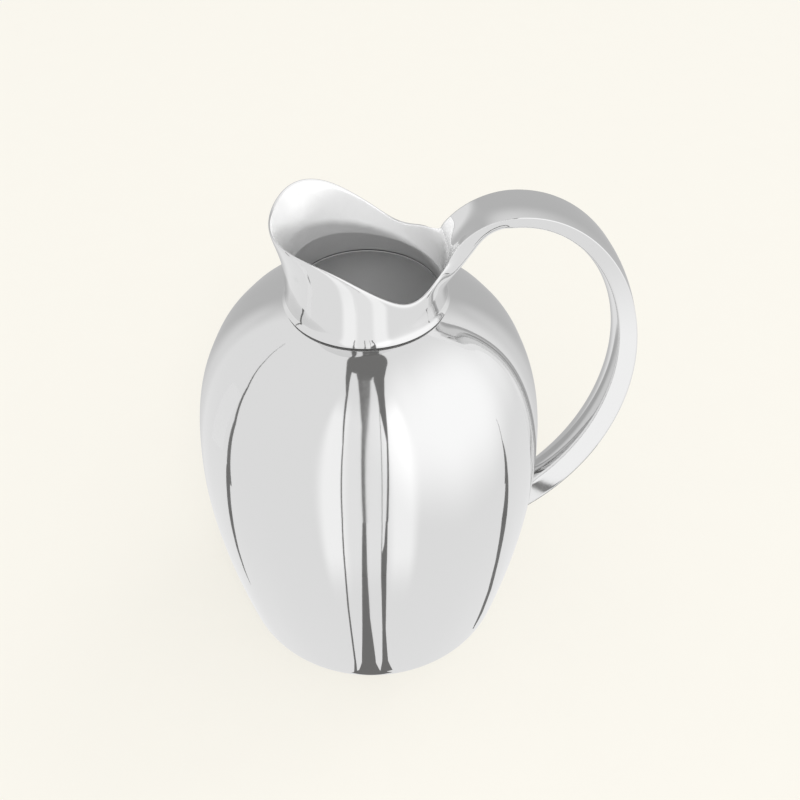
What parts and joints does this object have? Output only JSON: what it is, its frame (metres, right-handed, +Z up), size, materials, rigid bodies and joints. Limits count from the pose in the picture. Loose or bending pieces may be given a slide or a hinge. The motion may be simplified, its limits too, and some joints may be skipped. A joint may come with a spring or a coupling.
{
  "type": "water pitcher",
  "caption": "Polished metal water pitcher with a fluted egg-shaped body, a short neck with a high swept spout, and a broad arched hollow handle.",
  "frame": {"origin": "centre of the foot, on the surface that the pitcher stands on", "axes": "+Z up along the body's axis, +X towards the handle, -X towards the spout; the pitcher is mirrored about the XZ plane, apart from the turn of its shallow flutes"},
  "size_m": [0.1683, 0.1338, 0.1949],
  "materials": {
    "polished_body": "mirror-polished steel",
    "polished_neck": "mirror-polished steel",
    "polished_handle": "mirror-polished steel",
    "satin_base": "satin, turned",
    "solder": "dull grey solder"
  },
  "bodies": {
    "root": {"body_shell": "polished_body", "base_plate": "satin_base", "base_solder_ring": "solder", "neck_spout": "polished_neck", "neck_solder_ring": "solder", "handle_shell": "polished_handle", "handle_liner": "polished_handle"}
  },
  "joints": []
}
